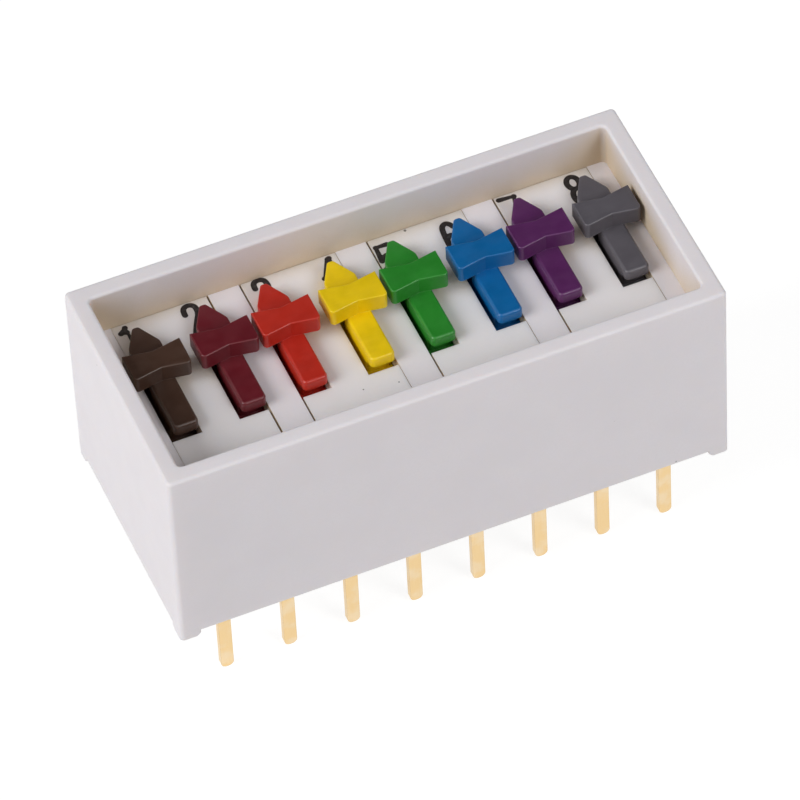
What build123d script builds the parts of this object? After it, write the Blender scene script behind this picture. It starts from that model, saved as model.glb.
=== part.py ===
"""Eight-pole slide DIP switch with a recessed top and colour-coded arrow sliders.

Millimetres, +Z up. The origin is the centre of the seating plane, where the feet
meet the circuit board. +X runs from pole 1 to pole 8, and the arrows point along +Y.
"""
import os

from build123d import *

os.makedirs("parts", exist_ok=True)

# ---------------------------------------------------------------- driving sizes
pair_count = 4                  # poles are built two to a block
pitch = 2.54                    # from one terminal to the next along a row
row_spacing = 7.62              # between the front and back rows of terminals

end_margin = 0.84               # end face to the first block's share of the row
row_margin = 1.29               # front or back face to the middle of its row
housing_height = 8.8            # seating plane to rim
end_wall = 0.7
side_wall = 0.7
recess_depth = 1.95             # rim down to the slotted floor
foot_height = 0.3
foot_length = 0.8               # along each wall, at every corner
foot_chamfer = 0.15
outer_corner_radius = 0.18
inner_corner_radius = 0.2
rim_radius = 0.12

base_underside = 0.55           # above the seating plane
base_thickness = 1.45
base_clearance = 0.03           # base to housing, each side

slot_width = 1.2
slot_pitch_in_pair = 2.66       # the two slots of one block
slot_front_y = -1.66
slider_travel = 0.7
top_plate_thickness = 0.6
block_end_clearance = 0.012     # block to the front and back walls
# Block to rib on its left and right: the seams on the floor. Each block sits to one side.
seam_widths = [(0.012, 0.08), (0.07, 0.02), (0.07, 0.02), (0.07, 0.02)]

bar_side_gap = 0.115            # bar to slot, each side, when centred
bar_rest_offset = 0.08          # the sliders lean to the right in their slots
bar_height = 0.5                # above the floor
bar_front_gap = 0.18            # to the slot's front end, with the slider forward
bar_front_length = 2.13         # from the bar's front end to the wing
bar_corner_radius = 0.18
bar_edge_radius = 0.11
stem_set_back = 0.45            # behind the bar's front end
stem_length = 2.25
slider_lift = 0.07              # what overhangs the floor runs this far above it
slot_end_gap = 0.1              # left behind the stem at the back of the travel

wing_gap = 0.16                 # between the wings of neighbouring blocks
wing_top_height = 1.2           # above the floor
wing_length = 1.3               # at its two ends
wing_notch = 0.2                # how far the front and back edges dip at the middle
wing_corner_radius = 0.16
wing_edge_radius = 0.05

arrow_width = 1.24
arrow_height = 0.58             # above the floor
arrow_wall_gap = 0.12           # tip to back wall, at the back of the travel
arrow_point_length = 0.92       # shoulders to tip
arrow_tip_width = 0.24
arrow_tip_radius = 0.12
arrow_shoulder_radius = 0.35
arrow_edge_radius = 0.05

flange_side_gap = 0.1           # retaining flange to the channel, each side, when centred
flange_thickness = 0.5
flange_under_plate = 0.05       # running clearance below the top plate
flange_overlap = 0.22           # least hold beyond either end of the slot
channel_end_gap = 0.08
carrier_length = 2.4

terminal_width = 0.5
terminal_thickness = 0.25
terminal_length = 3.8           # below the seating plane
terminal_tip_radius = 0.22
terminal_bend_radius = 0.16     # to the strip's middle
terminal_clearance = 0.01       # terminal to base and block, each side
blade_lap = 0.25                # how far a blade reaches past the foot on it

clip_height = 1.18              # feet to crown
clip_thickness = 0.1
clip_width = 0.8
clip_bend_radius = 0.08
clip_crown_length = 0.9
clip_foot_y = 1.0               # middle of each foot, from the middle of the clip
clip_foot_length = 0.2
clip_toe_rise = 0.3
clip_toe_reach = 0.15
wipe_gap = 0.02                 # foot to blade

# ---------------------------------------------------------------- worked-out places
pair_pitch = 2 * pitch
housing_length = pair_count * pair_pitch + 2 * end_margin
housing_width = row_spacing + 2 * row_margin
inner_length = housing_length - 2 * end_wall
inner_width = housing_width - 2 * side_wall
floor_z = housing_height - recess_depth
plate_underside_z = floor_z - top_plate_thickness
base_top_z = base_underside + base_thickness
blade_top_z = base_top_z + terminal_thickness

bay_length = slot_pitch_in_pair + slot_width
block_width = inner_width - 2 * block_end_clearance

bar_width = slot_width - 2 * bar_side_gap
bar_front_y = slot_front_y + bar_front_gap
stem_front_y = bar_front_y + stem_set_back
stem_back_y = stem_front_y + stem_length
slot_back_y = stem_back_y + slider_travel + slot_end_gap
wing_width = pair_pitch - slot_pitch_in_pair - wing_gap
wing_front_y = bar_front_y + bar_front_length
wing_back_y = wing_front_y + wing_length
arrow_tip_y = inner_width / 2 - slider_travel - arrow_wall_gap
arrow_shoulder_y = arrow_tip_y - arrow_point_length
flange_width = slot_width - 2 * flange_side_gap
flange_front_y = slot_front_y - slider_travel - flange_overlap
flange_back_y = slot_back_y + flange_overlap
flange_top_z = plate_underside_z - flange_under_plate
flange_bottom_z = flange_top_z - flange_thickness
channel_front_y = flange_front_y - channel_end_gap
channel_back_y = flange_back_y + slider_travel + channel_end_gap

foot_bottom_z = blade_top_z + wipe_gap
carrier_bottom_z = foot_bottom_z + clip_height
foot_inner_y = clip_foot_y - clip_foot_length / 2
foot_outer_y = clip_foot_y + clip_foot_length / 2
blade_end_y = foot_inner_y - blade_lap

sides = (-1, 1)
pair_xs = [(i - (pair_count - 1) / 2) * pair_pitch for i in range(pair_count)]
slot_xs = [x + side * slot_pitch_in_pair / 2 for x in pair_xs for side in sides]
slider_xs = [x + bar_rest_offset for x in slot_xs]
terminal_xs = [x + side * pitch / 2 for x in pair_xs for side in sides]


def span(low, high):
    """Middle and length of a stretch from low to high."""
    return (low + high) / 2, high - low


def relief_outline(length):
    """Gap under a wall between its two feet, wider where the feet are chamfered."""
    right = [(length / 2, foot_height), (length / 2, foot_chamfer), (length / 2 + foot_chamfer, 0)]
    return right + [(-across, z) for across, z in reversed(right)]


def save(shape, name):
    shape.label = name
    export_step(shape, f"parts/{name}.step")


# ---------------------------------------------------------------- housing
# One moulding: four walls, three ribs across the floor between the blocks, a ledge
# at each end and a foot at each corner.
with BuildPart() as housing:
    with BuildSketch():
        RectangleRounded(housing_length, housing_width, outer_corner_radius)
    extrude(amount=housing_height)
    fillet(housing.faces().sort_by(Axis.Z)[-1].edges(), rim_radius)

    with BuildSketch(Plane.XY.offset(floor_z)):
        RectangleRounded(inner_length, inner_width, inner_corner_radius)
    extrude(amount=recess_depth, mode=Mode.SUBTRACT)
    rim_face = housing.faces().filter_by(Axis.Z).sort_by(Axis.Z)[-1]
    fillet(rim_face.inner_wires()[0].edges(), rim_radius)

    with BuildSketch(Plane.XY.offset(base_top_z)):
        with Locations(*[(x, 0) for x in pair_xs]):
            Rectangle(bay_length, inner_width)
    extrude(amount=floor_z - base_top_z, mode=Mode.SUBTRACT)
    with BuildSketch():
        Rectangle(inner_length, inner_width)
    extrude(amount=base_top_z, mode=Mode.SUBTRACT)

    # Between the feet the walls stop short of the board.
    with BuildSketch(Plane.XZ):
        Polygon(*relief_outline(housing_length - 2 * foot_length), align=None)
    extrude(amount=housing_width / 2, both=True, mode=Mode.SUBTRACT)
    with BuildSketch(Plane.YZ):
        Polygon(*relief_outline(housing_width - 2 * foot_length), align=None)
    extrude(amount=housing_length / 2, both=True, mode=Mode.SUBTRACT)
save(housing.part, "housing")


# ---------------------------------------------------------------- base plate
# Closes the housing from below. Each terminal passes through a slit, and a pad level
# with the blades carries the clip's front foot when the pole is open.
with BuildPart() as base_plate:
    with BuildSketch(Plane.XY.offset(base_underside)):
        Rectangle(inner_length - 2 * base_clearance, inner_width - 2 * base_clearance)
    extrude(amount=base_thickness)
    with BuildSketch(Plane.XY.offset(base_top_z)):
        with Locations(*[(x, 0) for x in terminal_xs]):
            Rectangle(terminal_width, 2 * (blade_end_y - terminal_clearance))
    extrude(amount=terminal_thickness)
    with BuildSketch(Plane.XY.offset(base_underside)):
        with Locations(*[(x, side * row_spacing / 2) for x in terminal_xs for side in sides]):
            Rectangle(terminal_width + 2 * terminal_clearance, terminal_thickness + 2 * terminal_clearance)
    extrude(amount=base_thickness, mode=Mode.SUBTRACT)
save(base_plate.part, "base_plate")


# ---------------------------------------------------------------- pole blocks
# Each block holds two poles. Its slots open on its two outer sides, where the ribs of
# the housing close them, and a longer channel below the top plate holds the flanges.
def build_block(pair_x, left_seam, right_seam):
    block_x, block_length = span(pair_x - bay_length / 2 + left_seam, pair_x + bay_length / 2 - right_seam)
    with BuildPart() as block:
        with BuildSketch(Plane.XY.offset(base_top_z)):
            with Locations((block_x, 0)):
                Rectangle(block_length, block_width)
        extrude(amount=floor_z - base_top_z)
        slot_y, slot_length = span(slot_front_y, slot_back_y)
        channel_y, channel_length = span(channel_front_y, channel_back_y)
        slot_places = [pair_x + side * slot_pitch_in_pair / 2 for side in sides]
        with BuildSketch(Plane.XY.offset(base_top_z)):
            with Locations(*[(x, channel_y) for x in slot_places]):
                Rectangle(slot_width, channel_length)
        extrude(amount=plate_underside_z - base_top_z, mode=Mode.SUBTRACT)
        with BuildSketch(Plane.XY.offset(plate_underside_z)):
            with Locations(*[(x, slot_y) for x in slot_places]):
                Rectangle(slot_width, slot_length)
        extrude(amount=top_plate_thickness, mode=Mode.SUBTRACT)
        with BuildSketch(Plane.XY.offset(base_top_z)):
            with Locations(*[(pair_x + side * pitch / 2, 0) for side in sides]):
                Rectangle(terminal_width + 2 * terminal_clearance, block_width)
        extrude(amount=terminal_thickness + terminal_clearance, mode=Mode.SUBTRACT)
    return block.part


for number, (pair_x, seams) in enumerate(zip(pair_xs, seam_widths), start=1):
    save(build_block(pair_x, *seams), f"pole_block_{number}")


# ---------------------------------------------------------------- sliders
def arrow_outline():
    """Arrowhead seen from above, with its root under the middle of the wing."""
    half, tip_half = arrow_width / 2, arrow_tip_width / 2
    root_y = (wing_front_y + wing_back_y) / 2
    return [(half, root_y), (half, arrow_shoulder_y), (tip_half, arrow_tip_y),
            (-tip_half, arrow_tip_y), (-half, arrow_shoulder_y), (-half, root_y)]


def wing_outline():
    """Bow tie seen from above: full length at its ends, narrower at the middle."""
    half = wing_width / 2
    return [(half, wing_front_y), (half, wing_back_y), (0, wing_back_y - wing_notch),
            (-half, wing_back_y), (-half, wing_front_y), (0, wing_front_y + wing_notch)]


def top_edges(part, height):
    """Edges of the part that lie flat at one height."""
    return part.edges().filter_by_position(Axis.Z, height, height)


def upright_edges(part, low_y, high_y):
    """Upright edges of the part that stand between two places along Y."""
    return part.edges().filter_by(Axis.Z).filter_by_position(Axis.Y, low_y, high_y)


with BuildPart() as slider:
    # Bar: its front end shows, its back end is buried in the arrow.
    bar_y, bar_length = span(bar_front_y, wing_back_y)
    with BuildSketch(Plane.XY.offset(floor_z + slider_lift)):
        with Locations((0, bar_y)):
            Rectangle(bar_width, bar_length)
    extrude(amount=bar_height - slider_lift)
    fillet(upright_edges(slider, bar_front_y, bar_front_y), bar_corner_radius)
    fillet(top_edges(slider, floor_z + bar_height), bar_edge_radius)

    # Arrowhead.
    with BuildSketch(Plane.XY.offset(floor_z + slider_lift)):
        Polygon(*arrow_outline(), align=None)
    extrude(amount=arrow_height - slider_lift)
    fillet(upright_edges(slider, arrow_tip_y, arrow_tip_y), arrow_tip_radius)
    fillet(upright_edges(slider, arrow_shoulder_y, arrow_shoulder_y), arrow_shoulder_radius)
    fillet(top_edges(slider, floor_z + arrow_height), arrow_edge_radius)

    # Wing, standing on the bar.
    with BuildSketch(Plane.XY.offset(floor_z + bar_height)):
        Polygon(*wing_outline(), align=None)
    extrude(amount=wing_top_height - bar_height)
    fillet(upright_edges(slider, wing_front_y, wing_front_y), wing_corner_radius)
    fillet(top_edges(slider, floor_z + wing_top_height), wing_edge_radius)

    # Stem through the slot.
    stem_y, stem_span = span(stem_front_y, stem_back_y)
    with BuildSketch(Plane.XY.offset(flange_top_z)):
        with Locations((0, stem_y)):
            RectangleRounded(bar_width, stem_span, bar_corner_radius)
    extrude(amount=floor_z + slider_lift - flange_top_z)

    # Retaining flange, and the carrier that presses the contact clip down.
    flange_y, flange_length = span(flange_front_y, flange_back_y)
    with BuildSketch(Plane.XY.offset(flange_bottom_z)):
        with Locations((0, flange_y)):
            Rectangle(flange_width, flange_length)
    extrude(amount=flange_thickness)
    with BuildSketch(Plane.XY.offset(carrier_bottom_z)):
        Rectangle(flange_width, carrier_length)
    extrude(amount=flange_bottom_z - carrier_bottom_z)

for number, x in enumerate(slider_xs, start=1):
    save(Pos(x, 0, 0) * slider.part, f"slider_{number}")


# ---------------------------------------------------------------- contact clips
# A bent strip under each carrier, whose two feet wipe along the blades.
def clip_route():
    """Right-hand half of the strip's middle line, from the crown out to the toe."""
    crown_z = carrier_bottom_z - clip_thickness / 2
    foot_z = foot_bottom_z + clip_thickness / 2
    return [(clip_crown_length / 2, crown_z), (foot_inner_y, foot_z), (foot_outer_y, foot_z),
            (foot_outer_y + clip_toe_reach, foot_z + clip_toe_rise)]


with BuildPart() as contact_clip:
    with BuildSketch(Plane.YZ):
        with BuildLine():
            right = clip_route()
            left = [(-y, z) for y, z in reversed(right)]
            FilletPolyline(*left, *right, radius=clip_bend_radius)
        trace(line_width=clip_thickness)
    extrude(amount=clip_width / 2, both=True)

for number, x in enumerate(slider_xs, start=1):
    save(Pos(x, 0, 0) * contact_clip.part, f"contact_clip_{number}")


# ---------------------------------------------------------------- terminals
# One bent strip each: a pin with a rounded end, and a blade lying on the base.
def build_terminal(x, side):
    row_y = side * row_spacing / 2
    blade_z = base_top_z + terminal_thickness / 2
    with BuildPart() as terminal:
        with BuildSketch(Plane.YZ.offset(x)):
            with BuildLine():
                FilletPolyline((row_y, -terminal_length), (row_y, blade_z), (side * blade_end_y, blade_z),
                               radius=terminal_bend_radius)
            trace(line_width=terminal_thickness)
        extrude(amount=terminal_width / 2, both=True)
        pin_end = terminal.edges().filter_by(Axis.Y).sort_by(Axis.Z)[:2]
        fillet(pin_end, terminal_tip_radius)
    return terminal.part


for row, side in (("front", -1), ("back", 1)):
    for number, x in enumerate(terminal_xs, start=1):
        save(build_terminal(x, side), f"terminal_{row}_{number}")
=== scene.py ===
"""Looks of an eight-pole slide DIP switch: moulded finishes, printed numbers and a plain studio.

Everything is in metres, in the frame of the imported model. Sizes given in millimetres are
turned into metres with MM. The origin is the middle of the footprint on the board, +X runs
from pole 1 to pole 8 and +Y is the way the arrows point.
"""
import math

import bmesh
import bpy
from bpy.props import FloatProperty, FloatVectorProperty, PointerProperty
from bpy.types import Operator, Panel, PropertyGroup
from mathutils import Matrix, Vector


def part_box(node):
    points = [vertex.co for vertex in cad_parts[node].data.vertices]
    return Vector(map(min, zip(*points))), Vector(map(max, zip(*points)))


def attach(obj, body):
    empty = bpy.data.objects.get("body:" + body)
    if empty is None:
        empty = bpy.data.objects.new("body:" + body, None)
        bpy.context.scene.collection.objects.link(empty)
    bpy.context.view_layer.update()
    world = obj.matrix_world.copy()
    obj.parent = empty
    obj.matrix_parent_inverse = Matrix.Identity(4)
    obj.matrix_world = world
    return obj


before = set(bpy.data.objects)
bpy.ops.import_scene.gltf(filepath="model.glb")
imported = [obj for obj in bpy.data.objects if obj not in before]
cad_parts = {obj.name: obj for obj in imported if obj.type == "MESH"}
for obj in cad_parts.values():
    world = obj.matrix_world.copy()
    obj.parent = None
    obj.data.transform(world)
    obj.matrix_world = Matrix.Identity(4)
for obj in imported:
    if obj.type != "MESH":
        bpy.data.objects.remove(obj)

bl_info = {
    "name": "Slide DIP Switch",
    "version": (1, 0, 0),
    "blender": (4, 5, 0),
    "location": "3D View > Sidebar > DIP Switch",
    "description": "Finishes, printed numbers and studio for an eight-pole slide DIP switch",
    "category": "Object",
}

MM = 0.001
SLIDER_NAMES = ("brown", "maroon", "orange_red", "yellow", "green", "blue", "violet", "grey")
POLES = range(1, len(SLIDER_NAMES) + 1)
BLOCKS = range(1, len(SLIDER_NAMES) // 2 + 1)
# Each slider's patterns start this far on from the last one's.
SEED_STEP = 3.7
# The sliders stand this far to the right of their slots' middles.
SLIDER_LEAN_MM = 0.08
# Where the dark flecks lie on the blocks' tops, and their radius.
FLECKS_MM = ((2.16, 4.30, 0.045), (-2.26, -2.23, 0.025), (-0.94, -2.44, 0.025))
HOUSING_LOW, HOUSING_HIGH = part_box("housing")
BLOCK_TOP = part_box("pole_block_1")[1].z
TERMINAL_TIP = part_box("terminal_front_1")[0].z
MIDDLE = (HOUSING_LOW + HOUSING_HIGH) / 2
# From the middle of the switch to each lamp and to the dark card.
FRONT_LAMP_WAY = (0.42, -0.64, 0.64)
LEFT_LAMP_WAY = (-0.83, -0.06, 0.55)
CARD_WAY = (0.23, 0.62, 0.75)


# ---------------------------------------------------------------- settings

def colour(name, text, value):
    """A colour setting, in linear light."""
    return FloatVectorProperty(
        name=name, description=text, subtype="COLOR", size=3, min=0, max=1, default=value
    )


def length(name, text, millimetres):
    """A length setting, in metres."""
    return FloatProperty(
        name=name, description=text, unit="LENGTH", subtype="DISTANCE", precision=5,
        default=millimetres * MM,
    )


def share(name, text, value):
    """A setting from 0 to 1."""
    return FloatProperty(
        name=name, description=text, subtype="FACTOR", min=0, max=1, default=value
    )


def angle(name, text, degrees):
    """An angle setting, shown in degrees."""
    return FloatProperty(
        name=name, description=text, unit="ROTATION", subtype="ANGLE",
        default=math.radians(degrees),
    )


def power(name, text, watts):
    """A lamp's power."""
    return FloatProperty(
        name=name, description=text, unit="POWER", subtype="POWER", min=0, default=watts
    )


class DIP_PG_mouldings(PropertyGroup):
    """White mouldings: the housing, the pole blocks and the base plate"""

    housing_colour: colour("Housing", "Colour of the housing", (0.855, 0.815, 0.845))
    block_colour: colour("Blocks", "Colour of the pole blocks", (0.87, 0.84, 0.85))
    base_colour: colour("Base", "Colour of the base plate", (0.72, 0.71, 0.69))
    # Painted warm shade: the darker, warmer tint laid on the recess's corners and on faces close
    # to other pieces.
    crease_shade_colour: colour("Creases", "Tint of the plastic in the recess", (0.66, 0.53, 0.37))
    fleck_colour: colour("Flecks", "Colour of the few dark flecks", (0.03, 0.028, 0.026))
    roughness: share("Roughness", "Roughness of the white plastic", 0.52)
    grain_depth: length("Grain depth", "Depth of the mould's fine grain", 0.0022)
    wave_depth: length("Wave depth", "How far the faces wander from flat", 0.020)
    grain_per_mm: FloatProperty(
        name="Grain per mm", description="Grains of the mould's texture in a millimetre",
        min=1, default=14.0,
    )


class DIP_PG_sliders(PropertyGroup):
    """Coloured sliders, one colour for each pole"""

    brown: colour("Pole 1", "Colour of slider 1", (0.060, 0.029, 0.018))
    maroon: colour("Pole 2", "Colour of slider 2", (0.128, 0.008, 0.015))
    orange_red: colour("Pole 3", "Colour of slider 3", (0.49, 0.022, 0.010))
    yellow: colour("Pole 4", "Colour of slider 4", (0.86, 0.60, 0.0))
    green: colour("Pole 5", "Colour of slider 5", (0.020, 0.235, 0.021))
    blue: colour("Pole 6", "Colour of slider 6", (0.0, 0.125, 0.36))
    violet: colour("Pole 7", "Colour of slider 7", (0.096, 0.017, 0.102))
    grey: colour("Pole 8", "Colour of slider 8", (0.105, 0.097, 0.112))
    roughness: share("Roughness", "Roughness of the coloured plastic", 0.34)
    # Edges are painted lighter: partly rubbed wear, partly painted highlight.
    edge_wear_and_highlight: share("Edge wear", "How much lighter the edges are than the faces", 0.75)
    streak_depth: length("Streak depth", "Depth of the fine lines across the tops", 0.0005)
    grain_depth: length("Grain depth", "Depth of the fine grain", 0.0008)


class DIP_PG_contacts(PropertyGroup):
    """Gold-plated terminals and the clips under the sliders"""

    gold_colour: colour("Gold", "Colour of the gold plate", (0.85, 0.625, 0.33))
    worn_colour: colour("Worn gold", "Where the plate is thin", (0.86, 0.72, 0.52))
    tarnish_colour: colour("Edges", "Sheared edges of the strip", (0.46, 0.30, 0.13))
    clip_colour: colour("Clips", "Colour of the spring clips", (0.86, 0.64, 0.34))
    roughness: share("Roughness", "Roughness of the gold plate", 0.35)
    dent_depth: length("Dent depth", "Depth of the shallow dents in the strip", 0.006)
    drawn_depth: length("Drawn depth", "Depth of the lines along the strip", 0.0012)


class DIP_PG_legend(PropertyGroup):
    """Printed numbers on the pole blocks"""

    ink_colour: colour("Ink", "Colour of the ink", (0.018, 0.014, 0.014))
    digit_height: length("Height", "Height of a number between its stroke centres", 1.42)
    digit_width: length("Width", "Width of a number between its stroke centres", 0.48)
    stroke_width: length("Stroke", "Width of a stroke", 0.23)
    ink_height: length("Ink height", "How far the ink stands above the block", 0.012)
    ink_grain: length("Ink grain", "Depth of the ink's grain", 0.002)


class DIP_PG_stage(PropertyGroup):
    """Floor, lamps, dark card and camera"""

    floor_colour: colour("Floor", "Colour of the floor", (0.80, 0.80, 0.80))
    floor_side: length("Floor side", "Side of the square floor", 6000)
    floor_gap: length("Floor gap", "From the floor up to the terminals' tips", 0.02)
    sky_strength: share("Sky", "Strength of the soft light from all round", 0.23)
    floor_glow: share("Floor glow", "How far the seen floor is lifted towards white", 0.72)
    glow_strength: FloatProperty(
        name="Glow strength", description="Strength of the glow that is mixed into the floor",
        min=0, default=1.22,
    )
    front_power: power("Front power", "Soft lamp over the front", 0.195)
    front_size: length("Front size", "Side of the front lamp", 95)
    front_distance: length("Front distance", "From the switch to the front lamp", 240)
    left_power: power("Left power", "Low soft lamp on the left", 1.68)
    left_size: length("Left size", "Side of the left lamp", 285)
    left_distance: length("Left distance", "From the switch to the left lamp", 520)
    card_colour: colour("Card", "Colour of the dark card", (0.03, 0.03, 0.03))
    card_size: length("Card size", "Side of the dark card behind the switch", 500)
    card_distance: length("Card distance", "From the switch to the dark card", 400)
    camera_azimuth: angle("Azimuth", "Camera's turn round the switch", -20.61)
    camera_elevation: angle("Elevation", "Camera's height above the horizon", 49.12)
    camera_roll: angle("Roll", "Camera's tilt about its own axis", -3.17)
    camera_distance: length("Distance", "From the aiming point to the camera", 293.0)
    aim_height: length("Aim height", "Height aimed at above the board, before the shift", 4.0)
    shift_right: length("Shift right", "How far the switch is moved right in the view", -0.02)
    shift_up: length("Shift up", "How far the switch is moved up in the view", 0.768)
    lens: FloatProperty(
        name="Lens", description="Focal length in millimetres on a 36 mm sensor",
        min=1, default=357.3,
    )


def new_object(name, data):
    """A new object in the scene, at the origin."""
    made = bpy.data.objects.new(name, data)
    bpy.context.scene.collection.objects.link(made)
    return made


# ---------------------------------------------------------------- material helpers

def add_node(tree, kind, **settings):
    """A new node, with its own settings set by name."""
    made = tree.nodes.new(kind)
    for key, value in settings.items():
        setattr(made, key, value)
    return made


def join(tree, source, target):
    """A link from one socket to another."""
    tree.links.new(source, target)


def new_finish(name):
    """A material with one Principled shader. Returns the material, its tree and the shader."""
    material = bpy.data.materials.new(name)
    material.use_nodes = True
    tree = material.node_tree
    tree.nodes.clear()
    out = add_node(tree, "ShaderNodeOutputMaterial")
    shader = add_node(tree, "ShaderNodeBsdfPrincipled")
    join(tree, shader.outputs["BSDF"], out.inputs["Surface"])
    return material, tree, shader


def place(tree, per_mm, move=(0, 0, 0)):
    """Object coordinates scaled so that 1 is one feature, with per_mm features in a millimetre."""
    where = add_node(tree, "ShaderNodeTexCoord")
    mapping = add_node(tree, "ShaderNodeMapping")
    mapping.inputs["Scale"].default_value = tuple(s / MM for s in per_mm)
    mapping.inputs["Location"].default_value = move
    join(tree, where.outputs["Object"], mapping.inputs["Vector"])
    return mapping.outputs["Vector"]


def noise(tree, per_mm, detail=2.0, move=(0, 0, 0)):
    """Soft noise from 0 to 1. per_mm is one number, or one for each axis."""
    if isinstance(per_mm, (int, float)):
        per_mm = (per_mm,) * 3
    made = add_node(tree, "ShaderNodeTexNoise")
    made.inputs["Scale"].default_value = 1.0
    made.inputs["Detail"].default_value = detail
    join(tree, place(tree, per_mm, move=move), made.inputs["Vector"])
    return made.outputs["Fac"]


def remap(tree, value, low, high, to_low=0.0, to_high=1.0, smooth=True):
    """value taken from low..high to to_low..to_high, and held there outside."""
    made = add_node(tree, "ShaderNodeMapRange")
    made.interpolation_type = "SMOOTHSTEP" if smooth else "LINEAR"
    for key, number in zip(("From Min", "From Max", "To Min", "To Max"),
                           (low, high, to_low, to_high)):
        made.inputs[key].default_value = number
    join(tree, value, made.inputs["Value"])
    return made.outputs["Result"]


def arithmetic(tree, operation, first, second):
    """A Math node. Each side is a socket or a number."""
    made = add_node(tree, "ShaderNodeMath", operation=operation)
    for socket, value in zip(made.inputs, (first, second)):
        if isinstance(value, (int, float)):
            socket.default_value = value
        else:
            join(tree, value, socket)
    return made.outputs["Value"]


def blend_colours(tree, factor, first, second):
    """Two colours mixed by factor. Each is a socket or three numbers."""
    made = add_node(tree, "ShaderNodeMix", data_type="RGBA")
    sockets = (made.inputs[0], made.inputs[6], made.inputs[7])
    for socket, value in zip(sockets, (factor, first, second)):
        if isinstance(value, bpy.types.NodeSocket):
            join(tree, value, socket)
        elif isinstance(value, (int, float)):
            socket.default_value = value
        else:
            socket.default_value = (*value, 1.0)
    return made.outputs[2]


def tint(base, factor, lift=0.0):
    """A colour made darker or lighter by a factor, then lifted evenly."""
    return tuple(min(1.0, part * factor + lift) for part in base)


def bump(tree, height, depth, normal=None):
    """height from 0 to 1 as a bump of depth metres, on top of another normal if given."""
    made = add_node(tree, "ShaderNodeBump")
    made.inputs["Strength"].default_value = 1.0
    made.inputs["Distance"].default_value = depth
    join(tree, height, made.inputs["Height"])
    if normal is not None:
        join(tree, normal, made.inputs["Normal"])
    return made.outputs["Normal"]


def edge_mask(tree, radius_mm):
    """1 on edges and corners, 0 on flat faces."""
    rounded = add_node(tree, "ShaderNodeBevel", samples=4)
    rounded.inputs["Radius"].default_value = radius_mm * MM
    flat = add_node(tree, "ShaderNodeNewGeometry")
    dot = add_node(tree, "ShaderNodeVectorMath", operation="DOT_PRODUCT")
    join(tree, rounded.outputs["Normal"], dot.inputs[0])
    join(tree, flat.outputs["Normal"], dot.inputs[1])
    return remap(tree, dot.outputs["Value"], 0.995, 0.80)


def crease_mask(tree, reach_mm):
    """1 in tight corners and gaps, 0 in the open."""
    made = add_node(tree, "ShaderNodeAmbientOcclusion", samples=6)
    made.inputs["Distance"].default_value = reach_mm * MM
    return remap(tree, made.outputs["AO"], 0.95, 0.35)


def upright_mask(tree):
    """1 on upright faces, 0 on level ones."""
    where = add_node(tree, "ShaderNodeTexCoord")
    parts = add_node(tree, "ShaderNodeSeparateXYZ")
    join(tree, where.outputs["Normal"], parts.inputs[0])
    slope = add_node(tree, "ShaderNodeMath", operation="ABSOLUTE")
    join(tree, parts.outputs["Z"], slope.inputs[0])
    return remap(tree, slope.outputs["Value"], 0.7, 0.2)


def near_point(tree, point, radius):
    """1 inside a spot of radius metres round a point, falling to 0 just outside it."""
    where = add_node(tree, "ShaderNodeTexCoord")
    gap = add_node(tree, "ShaderNodeVectorMath", operation="DISTANCE")
    gap.inputs[1].default_value = point
    join(tree, where.outputs["Object"], gap.inputs[0])
    return remap(tree, gap.outputs["Value"], 1.5 * radius, 0.8 * radius)


def give(material, *names):
    """Puts the material on CAD nodes, in every slot of theirs."""
    for name in names:
        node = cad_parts[name]
        if not node.material_slots:
            node.data.materials.append(material)
        for slot in node.material_slots:
            slot.material = material


# ---------------------------------------------------------------- finishes

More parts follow.
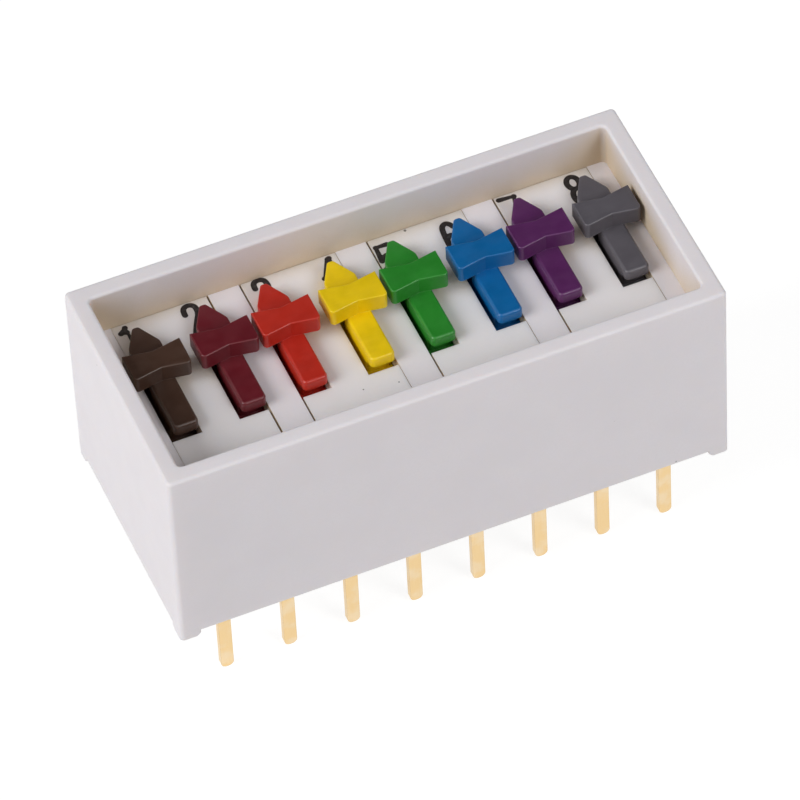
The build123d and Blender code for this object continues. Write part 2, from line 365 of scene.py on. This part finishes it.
def white_plastic(name, base, settings, painted_wall_shade, painted_near_shade=0.0, flecks=()):
    """Satin white moulded plastic with fine grain, faint blotches and painted corner shade.

    The first share is how far upright walls near a corner take the painted warm shade, the
    second the same for every face close to another piece.
    """
    wall_reach_mm = 2.2
    close_reach_mm = 0.9
    fleck_strength = 0.8
    material, tree, shader = new_finish(name)
    cloud = remap(tree, noise(tree, 0.45, detail=3.0), 0.3, 0.7)
    tone = blend_colours(tree, cloud, base, tint(base, 0.975))
    speckle = remap(tree, noise(tree, 9.0, detail=2.0, move=(3, 1, 7)), 0.35, 0.7)
    tone = blend_colours(
        tree, arithmetic(tree, "MULTIPLY", speckle, 0.55), tone, tint(base, 0.975)
    )
    # Painted warm shade: upright walls near corners, and faces close to another piece, are tinted
    # darker and warmer where shade and bounce light would fall.
    corner = arithmetic(tree, "MULTIPLY", crease_mask(tree, wall_reach_mm), upright_mask(tree))
    corner = arithmetic(tree, "MULTIPLY", corner, painted_wall_shade)
    close = arithmetic(tree, "MULTIPLY", crease_mask(tree, close_reach_mm), painted_near_shade)
    painted_shade = arithmetic(tree, "MAXIMUM", corner, close)
    tone = blend_colours(tree, painted_shade, tone, settings.crease_shade_colour)
    cells = add_node(tree, "ShaderNodeTexVoronoi")
    cells.inputs["Scale"].default_value = 1.0
    join(tree, place(tree, (0.42,) * 3, move=(0.3, 0.8, 0.1)), cells.inputs["Vector"])
    spots = remap(tree, cells.outputs["Distance"], 0.030, 0.012)
    for point, radius in flecks:
        spots = arithmetic(tree, "MAXIMUM", spots, near_point(tree, point, radius))
    tone = blend_colours(
        tree, arithmetic(tree, "MULTIPLY", spots, fleck_strength), tone, settings.fleck_colour
    )
    join(tree, tone, shader.inputs["Base Color"])
    patch = noise(tree, 1.3, detail=3.0, move=(5, 5, 2))
    gloss = remap(tree, patch, 0.3, 0.7, settings.roughness - 0.06, settings.roughness + 0.07)
    join(tree, gloss, shader.inputs["Roughness"])
    waves = bump(tree, noise(tree, 0.35, detail=1.0), settings.wave_depth)
    grain = noise(tree, settings.grain_per_mm, detail=3.0)
    join(tree, bump(tree, grain, settings.grain_depth, waves), shader.inputs["Normal"])
    shader.inputs["IOR"].default_value = 1.46
    shader.inputs["Specular IOR Level"].default_value = 0.25
    shader.inputs["Subsurface Weight"].default_value = 0.4
    shader.inputs["Subsurface Radius"].default_value = (1.0, 0.85, 0.7)
    shader.inputs["Subsurface Scale"].default_value = 0.5 * MM
    return material


def coloured_plastic(name, base, settings, seed):
    """Glossier moulded plastic with fine lines across its tops, and edges painted lighter, partly
    as rubbed wear and partly as painted highlight.
    """
    edge_radius_mm = 0.05
    line_tint = 0.12
    line_roughness = 0.06
    material, tree, shader = new_finish(name)
    cloud = remap(tree, noise(tree, 1.1, detail=3.0, move=(seed, 2, 5)), 0.3, 0.7)
    tone = blend_colours(tree, cloud, tint(base, 0.93), tint(base, 1.06, 0.001))
    stretched = noise(tree, (1.4, 16.0, 16.0), detail=2.0, move=(2, seed, 1))
    lines = remap(tree, stretched, 0.45, 0.75)
    tone = blend_colours(
        tree, arithmetic(tree, "MULTIPLY", lines, line_tint), tone, tint(base, 1.2, 0.012)
    )
    # Painted highlight and wear: edges are painted lighter in broken patches, partly rubbed wear
    # and partly the bright lines light draws along them.
    broken = remap(tree, noise(tree, 7.0, detail=2.0, move=(4, seed, 9)), 0.38, 0.62, 0.3, 1.0)
    edges = arithmetic(tree, "MULTIPLY", edge_mask(tree, edge_radius_mm), broken)
    edges = arithmetic(tree, "MULTIPLY", edges, settings.edge_wear_and_highlight)
    tone = blend_colours(tree, edges, tone, tint(base, 1.4, 0.10))
    join(tree, tone, shader.inputs["Base Color"])
    patch = noise(tree, 2.2, detail=4.0, move=(seed, seed, 0))
    gloss = remap(tree, patch, 0.3, 0.7, settings.roughness - 0.04, settings.roughness + 0.10)
    scuffed = arithmetic(tree, "MULTIPLY", lines, line_roughness)
    join(tree, arithmetic(tree, "ADD", gloss, scuffed), shader.inputs["Roughness"])
    grain = noise(tree, 14.0, detail=2.0, move=(0, 3, seed))
    grained = bump(tree, grain, settings.grain_depth)
    join(tree, bump(tree, lines, settings.streak_depth, grained), shader.inputs["Normal"])
    shader.inputs["IOR"].default_value = 1.50
    shader.inputs["Subsurface Weight"].default_value = 0.2
    shader.inputs["Subsurface Radius"].default_value = (1.0, 1.0, 1.0)
    shader.inputs["Subsurface Scale"].default_value = 0.3 * MM
    return material


def gold_plate(name, base, settings, edge_share):
    """Thin gold over nickel on punched strip, drawn lines along it, dull sheared edges."""
    edge_radius_mm = 0.035
    worn_share = 0.55
    material, tree, shader = new_finish(name)
    patch = remap(tree, noise(tree, 1.6, detail=3.0), 0.42, 0.68)
    tone = blend_colours(
        tree, arithmetic(tree, "MULTIPLY", patch, worn_share), base, settings.worn_colour
    )
    edges = arithmetic(tree, "MULTIPLY", edge_mask(tree, edge_radius_mm), edge_share)
    tone = blend_colours(tree, edges, tone, settings.tarnish_colour)
    join(tree, tone, shader.inputs["Base Color"])
    drawn = noise(tree, (34.0, 34.0, 1.6), detail=2.0)
    gloss = remap(tree, drawn, 0.3, 0.7, settings.roughness - 0.04, settings.roughness + 0.10)
    join(tree, gloss, shader.inputs["Roughness"])
    dents = bump(tree, noise(tree, 5.0, detail=2.0, move=(1, 4, 2)), settings.dent_depth)
    join(tree, bump(tree, drawn, settings.drawn_depth, dents), shader.inputs["Normal"])
    shader.inputs["Metallic"].default_value = 1.0
    return material


def printed_ink(name, settings):
    """Matt black ink, a little uneven, with its grain showing."""
    material, tree, shader = new_finish(name)
    thin = remap(tree, noise(tree, 7.0, detail=3.0), 0.45, 0.75)
    weak = tint(settings.ink_colour, 1.0, 0.03)
    join(tree, blend_colours(tree, thin, settings.ink_colour, weak), shader.inputs["Base Color"])
    gloss = remap(tree, noise(tree, 12.0, detail=2.0), 0.3, 0.7, 0.45, 0.62)
    join(tree, gloss, shader.inputs["Roughness"])
    grain = bump(tree, noise(tree, 22.0, detail=2.0), settings.ink_grain)
    join(tree, grain, shader.inputs["Normal"])
    shader.inputs["Specular IOR Level"].default_value = 0.3
    return material


# ---------------------------------------------------------------- printed numbers

# The strokes of each number. x is in widths from its middle, y in heights from its foot.
# A "ring" is a closed rounded stroke, a "bend" a rounded one and a "line" a straight one.
DIGIT_STROKES = {
    1: [("line", [(-0.42, 0.85), (0.06, 1.0), (0.14, 0.0)]),
        ("line", [(-0.28, 0.87), (0.04, 0.84)])],
    2: [("bend", [(-0.5, 0.75), (-0.52, 0.96), (0.0, 1.06), (0.54, 0.97), (0.53, 0.68),
                  (0.05, 0.42), (-0.5, 0.0)]),
        ("line", [(-0.5, 0.0), (0.5, 0.0)])],
    3: [("bend", [(-0.5, 0.78), (-0.52, 0.98), (0.0, 1.05), (0.54, 0.98), (0.52, 0.56),
                  (0.0, 0.53)]),
        ("bend", [(0.0, 0.53), (0.52, 0.53), (0.58, 0.08), (0.0, -0.05), (-0.5, 0.02),
                  (-0.52, 0.26)])],
    4: [("line", [(0.28, 0.0), (0.28, 1.0), (0.15, 0.98), (-0.81, 0.385), (0.62, 0.385)])],
    5: [("line", [(0.5, 1.0), (-0.42, 1.0), (-0.5, 0.5)]),
        ("bend", [(-0.5, 0.5), (-0.1, 0.68), (0.5, 0.62), (0.58, 0.1), (0.0, -0.06),
                  (-0.5, 0.02), (-0.52, 0.2)])],
    6: [("bend", [(0.5, 0.86), (0.3, 1.02), (-0.1, 1.03), (-0.44, 0.88), (-0.5, 0.35)]),
        ("ring", [(0.0, 0.3), (0.5, 0.3)])],
    7: [("line", [(-0.6, 1.0), (0.62, 0.97), (-0.1, 0.0)])],
    8: [("ring", [(0.0, 0.78), (0.48, 0.22)]),
        ("ring", [(0.0, 0.28), (0.5, 0.28)])],
}
# A ring has this many points, and swells by this factor because its curve runs inside them.
RING_POINTS = 8
RING_SWELL = 1.08
# The strokes are fused with a grid of this fineness, and smoothed this often.
FUSE_MM = 0.016
SMOOTH_PASSES = 3
# How far each printed number stands from its slot's middle, and where its top stroke runs.
DIGIT_PLACES_MM = {
    1: (-0.14, 4.20), 2: (-0.285, 4.19), 3: (0.13, 4.26), 4: (0.14, 4.22),
    5: (-0.17, 3.96), 6: (-0.26, 3.95), 7: (-0.09, 4.22), 8: (-0.185, 4.18),
}


def stroke_curve(curve, kind, points, width, height):
    """Adds one stroke to a curve, in millimetres, with the number's foot at the origin."""
    if kind == "ring":
        (cx, cy), (rx, ry) = points
        points = [
            (cx + rx * RING_SWELL * math.cos(math.tau * i / RING_POINTS),
             cy + ry * RING_SWELL * math.sin(math.tau * i / RING_POINTS))
            for i in range(RING_POINTS)
        ]
    spline = curve.splines.new("POLY" if kind == "line" else "NURBS")
    spline.points.add(len(points) - 1)
    for spot, (x, y) in zip(spline.points, points):
        spot.co = (x * width, y * height, 0.0, 1.0)
    if kind != "line":
        spline.order_u = 3
        spline.use_endpoint_u = kind != "ring"
        spline.use_cyclic_u = kind == "ring"
        spline.resolution_u = 8


def baked_mesh(holder):
    """The mesh that an object makes from its data and modifiers. The object is removed."""
    bpy.context.view_layer.update()
    made = bpy.data.meshes.new_from_object(
        holder.evaluated_get(bpy.context.evaluated_depsgraph_get())
    )
    bpy.data.objects.remove(holder)
    return made


def stroke_tubes(number, width, height, radius):
    """Round tubes along a number's strokes, with balls at their ends and corners."""
    curve = bpy.data.curves.new(f"strokes_{number}", "CURVE")
    curve.dimensions = "3D"
    curve.bevel_depth = radius
    curve.bevel_resolution = 4
    curve.use_fill_caps = True
    corners = []
    for kind, points in DIGIT_STROKES[number]:
        stroke_curve(curve, kind, points, width, height)
        if kind == "line":
            corners += points
        elif kind == "bend":
            corners += [points[0], points[-1]]
    tubes = baked_mesh(new_object(f"strokes_{number}", curve))
    mesh = bmesh.new()
    mesh.from_mesh(tubes)
    for x, y in corners:
        at = Matrix.Translation((x * width, y * height, 0))
        bmesh.ops.create_icosphere(mesh, subdivisions=3, radius=radius, matrix=at)
    mesh.to_mesh(tubes)
    mesh.free()
    return tubes


def build_digit(number, settings, material):
    """One printed number as a thin raised film of ink, riding on the case."""
    width = settings.digit_width / MM
    height = settings.digit_height / MM
    radius = settings.stroke_width / MM / 2
    rough = new_object(f"rough_{number}", stroke_tubes(number, width, height, radius))
    fuse = rough.modifiers.new("fuse", "REMESH")
    fuse.mode = "VOXEL"
    fuse.voxel_size = FUSE_MM
    data = baked_mesh(rough)
    data.name = f"digit_{number}"
    film = bmesh.new()
    film.from_mesh(data)
    for _ in range(SMOOTH_PASSES):
        bmesh.ops.smooth_vert(
            film, verts=film.verts, factor=0.5, use_axis_x=True, use_axis_y=True,
            use_axis_z=True,
        )
    slider_low, slider_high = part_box(f"slider_{number}")
    slot_middle = (slider_low.x + slider_high.x) / 2 - SLIDER_LEAN_MM * MM
    offset, top = DIGIT_PLACES_MM[number]
    flatten = settings.ink_height / MM / radius
    film.transform(
        Matrix.Translation((slot_middle + offset * MM, (top - height) * MM, BLOCK_TOP))
        @ Matrix.Diagonal((MM, MM, MM * flatten, 1.0))
    )
    bmesh.ops.recalc_face_normals(film, faces=film.faces)
    film.to_mesh(data)
    film.free()
    for face in data.polygons:
        face.use_smooth = True
    piece = new_object(f"digit_{number}", data)
    piece.data.materials.clear()
    piece.data.materials.append(material)
    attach(piece, "case")


# ---------------------------------------------------------------- operators

class DIP_OT_mouldings(Operator):
    """Finish the housing, the pole blocks and the base plate in white plastic"""

    bl_idname = "dip.mouldings"
    bl_label = "White mouldings"

    def execute(self, context):
        settings = context.scene.dip_mouldings
        # Each moulding takes its own share of painted warm shade at walls near corners and next to
        # other pieces.
        housing = white_plastic("housing_plastic", settings.housing_colour, settings, painted_wall_shade=0.95)
        give(housing, "housing")
        flecks = [
            (Vector((x * MM, y * MM, BLOCK_TOP)), radius * MM) for x, y, radius in FLECKS_MM
        ]
        blocks = white_plastic(
            "block_plastic", settings.block_colour, settings, painted_wall_shade=0.12, painted_near_shade=0.6,
            flecks=flecks,
        )
        give(blocks, *[f"pole_block_{i}" for i in BLOCKS])
        base = white_plastic("base_plastic", settings.base_colour, settings, painted_wall_shade=0.3)
        give(base, "base_plate")
        return {"FINISHED"}


class DIP_OT_sliders(Operator):
    """Finish the eight sliders in their colours"""

    bl_idname = "dip.sliders"
    bl_label = "Coloured sliders"

    def execute(self, context):
        settings = context.scene.dip_sliders
        for number, name in zip(POLES, SLIDER_NAMES):
            finish = coloured_plastic(
                f"slider_{name}", getattr(settings, name), settings, SEED_STEP * number
            )
            give(finish, f"slider_{number}")
        return {"FINISHED"}


class DIP_OT_contacts(Operator):
    """Finish the terminals and the clips in gold plate"""

    bl_idname = "dip.contacts"
    bl_label = "Gold-plated contacts"

    def execute(self, context):
        settings = context.scene.dip_contacts
        gold = gold_plate("gold_plate", settings.gold_colour, settings, edge_share=0.55)
        for row in ("front", "back"):
            give(gold, *[f"terminal_{row}_{i}" for i in POLES])
        spring = gold_plate("spring_alloy", settings.clip_colour, settings, edge_share=0.3)
        give(spring, *[f"contact_clip_{i}" for i in POLES])
        return {"FINISHED"}


class DIP_OT_legend(Operator):
    """Print the numbers 1 to 8 on the pole blocks"""

    bl_idname = "dip.legend"
    bl_label = "Printed numbers"

    def execute(self, context):
        settings = context.scene.dip_legend
        ink = printed_ink("legend_ink", settings)
        for number in DIGIT_STROKES:
            build_digit(number, settings, ink)
        return {"FINISHED"}


class DIP_OT_stage(Operator):
    """Set up the floor, the sky, the lamps, the dark card and the camera"""

    bl_idname = "dip.stage"
    bl_label = "Studio"

    def execute(self, context):
        settings = context.scene.dip_stage
        build_floor(settings)
        build_sky(context.scene, settings)
        build_lamps(settings)
        build_dark_card(settings)
        build_camera(context.scene, settings)
        context.scene.view_settings.view_transform = "Standard"
        return {"FINISHED"}


def seen_directly(tree):
    """1 for rays from the camera and for reflected and transmitted ones, 0 for lighting."""
    path = add_node(tree, "ShaderNodeLightPath")
    seen = arithmetic(
        tree, "MAXIMUM", path.outputs["Is Camera Ray"], path.outputs["Is Glossy Ray"]
    )
    return arithmetic(tree, "MAXIMUM", seen, path.outputs["Is Transmission Ray"])


def stage_sheet(name, finish, side, cells, matrix):
    """A square flat sheet for the stage, facing its matrix's +Z, with an empty material.

    It has cells by cells faces. Returns the sheet, the material's tree and its output node.
    """
    mesh = bmesh.new()
    bmesh.ops.create_grid(
        mesh, x_segments=cells, y_segments=cells, size=side / 2, matrix=matrix
    )
    data = bpy.data.meshes.new(name)
    mesh.to_mesh(data)
    mesh.free()
    material = bpy.data.materials.new(finish)
    material.use_nodes = True
    tree = material.node_tree
    tree.nodes.clear()
    data.materials.append(material)
    sheet = new_object(name, data)
    return sheet, tree, add_node(tree, "ShaderNodeOutputMaterial")


def mix_shaders(tree, amount, first, second):
    """Two shaders mixed: all first at 0, all second at 1."""
    made = add_node(tree, "ShaderNodeMixShader")
    for socket, value in zip(made.inputs, (amount, first, second)):
        join(tree, value, socket)
    return made.outputs[0]


def build_floor(settings):
    """A wide flat floor under the terminals' tips. It keeps a pale shadow of the switch.

    Where it is seen it is lifted towards white by its glow, which lights nothing, and from
    below it is clear.
    """
    place_at = Matrix.Translation((0, 0, TERMINAL_TIP - settings.floor_gap))
    _, tree, out = stage_sheet(
        "floor", "floor_paper", settings.floor_side, cells=2, matrix=place_at
    )
    paper = add_node(tree, "ShaderNodeBsdfDiffuse")
    paper.inputs["Color"].default_value = (*settings.floor_colour, 1.0)
    glow = add_node(tree, "ShaderNodeEmission")
    glow.inputs["Strength"].default_value = settings.glow_strength
    amount = arithmetic(tree, "MULTIPLY", seen_directly(tree), settings.floor_glow)
    lifted = mix_shaders(tree, amount, paper.outputs[0], glow.outputs[0])
    below = add_node(tree, "ShaderNodeNewGeometry").outputs["Backfacing"]
    clear = add_node(tree, "ShaderNodeBsdfTransparent")
    join(tree, mix_shaders(tree, below, lifted, clear.outputs[0]), out.inputs["Surface"])


def build_sky(scene, settings):
    """Soft light from all round, which shows as plain white."""
    world = bpy.data.worlds.new("studio_sky")
    world.use_nodes = True
    tree = world.node_tree
    tree.nodes.clear()
    out = add_node(tree, "ShaderNodeOutputWorld")
    glow = add_node(tree, "ShaderNodeBackground")
    glow.inputs["Color"].default_value = (1.0, 1.0, 1.0, 1.0)
    strength = remap(
        tree, seen_directly(tree), 0.0, 1.0, settings.sky_strength, 1.0, smooth=False
    )
    join(tree, strength, glow.inputs["Strength"])
    join(tree, glow.outputs[0], out.inputs["Surface"])
    scene.world = world


def soft_lamp(name, direction, distance, side, watts):
    """A square soft lamp in a direction from the middle of the switch, aimed at it."""
    light = bpy.data.lights.new(name, "AREA")
    light.shape = "SQUARE"
    light.size = side
    light.energy = watts
    lamp = new_object(name, light)
    away = Vector(direction).normalized() * distance
    lamp.location = MIDDLE + away
    lamp.rotation_euler = (-away).to_track_quat("-Z", "Y").to_euler()


def build_lamps(settings):
    """A small soft lamp in front and to the right, and a large one on the left."""
    soft_lamp("front_lamp", FRONT_LAMP_WAY, settings.front_distance, settings.front_size,
              settings.front_power)
    soft_lamp("left_lamp", LEFT_LAMP_WAY, settings.left_distance, settings.left_size,
              settings.left_power)


def build_dark_card(settings):
    """A dark card high behind the switch. Only reflections show it, so level tops keep the
    depth of their colours."""
    way = Vector(CARD_WAY).normalized()
    turn = way.to_track_quat("Z", "Y").to_matrix().to_4x4()
    place_at = Matrix.Translation(MIDDLE + way * settings.card_distance) @ turn
    card, tree, out = stage_sheet(
        "dark_card", "dark_card", settings.card_size, cells=1, matrix=place_at
    )
    cloth = add_node(tree, "ShaderNodeBsdfDiffuse")
    cloth.inputs["Color"].default_value = (*settings.card_colour, 1.0)
    join(tree, cloth.outputs[0], out.inputs["Surface"])
    card.visible_camera = False
    card.visible_diffuse = False
    card.visible_shadow = False
    card.visible_transmission = False


def build_camera(scene, settings):
    """A long-lens camera, high in front and a little to the left."""
    turn, rise, roll = (
        settings.camera_azimuth, settings.camera_elevation, settings.camera_roll
    )
    back = Vector((
        math.sin(turn) * math.cos(rise), -math.cos(turn) * math.cos(rise), math.sin(rise)
    ))
    level = Vector((math.cos(turn), math.sin(turn), 0.0))
    upward = back.cross(level)
    right = math.cos(roll) * level + math.sin(roll) * upward
    up = -math.sin(roll) * level + math.cos(roll) * upward
    data = bpy.data.cameras.new("camera")
    data.sensor_width = 36.0
    data.lens = settings.lens
    data.clip_start = 0.01
    data.clip_end = 10.0
    camera = new_object("camera", data)
    place_at = (
        Vector((0, 0, settings.aim_height)) - settings.shift_right * right
        - settings.shift_up * up + settings.camera_distance * back
    )
    axes = Matrix((right, up, back)).transposed().to_4x4()
    camera.matrix_world = Matrix.Translation(place_at) @ axes
    scene.camera = camera


class DIP_PT_panel(Panel):
    """Settings and steps of the switch, in the sidebar"""

    bl_idname = "DIP_PT_panel"
    bl_label = "DIP Switch"
    bl_space_type = "VIEW_3D"
    bl_region_type = "UI"
    bl_category = "DIP Switch"

    def draw(self, context):
        for group_name, operator in STEPS:
            box = self.layout.box()
            group = getattr(context.scene, group_name)
            for key in type(group).__annotations__:
                box.prop(group, key)
            box.operator(operator.bl_idname)


# ---------------------------------------------------------------- registration

STEPS = (
    ("dip_mouldings", DIP_OT_mouldings),
    ("dip_sliders", DIP_OT_sliders),
    ("dip_contacts", DIP_OT_contacts),
    ("dip_legend", DIP_OT_legend),
    ("dip_stage", DIP_OT_stage),
)
GROUPS = {
    "dip_mouldings": DIP_PG_mouldings,
    "dip_sliders": DIP_PG_sliders,
    "dip_contacts": DIP_PG_contacts,
    "dip_legend": DIP_PG_legend,
    "dip_stage": DIP_PG_stage,
}


def register():
    for group in GROUPS.values():
        bpy.utils.register_class(group)
    for _, operator in STEPS:
        bpy.utils.register_class(operator)
    bpy.utils.register_class(DIP_PT_panel)
    for name, group in GROUPS.items():
        setattr(bpy.types.Scene, name, PointerProperty(type=group))


def unregister():
    for name in GROUPS:
        delattr(bpy.types.Scene, name)
    bpy.utils.unregister_class(DIP_PT_panel)
    for _, operator in reversed(STEPS):
        bpy.utils.unregister_class(operator)
    for group in reversed(GROUPS.values()):
        bpy.utils.unregister_class(group)


def main():
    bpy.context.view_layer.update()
    register()
    for _, operator in STEPS:
        section, name = operator.bl_idname.split(".")
        result = getattr(getattr(bpy.ops, section), name)()
        if result != {"FINISHED"}:
            raise RuntimeError(f"{operator.bl_label} did not finish")


if __name__ == "__main__":
    main()
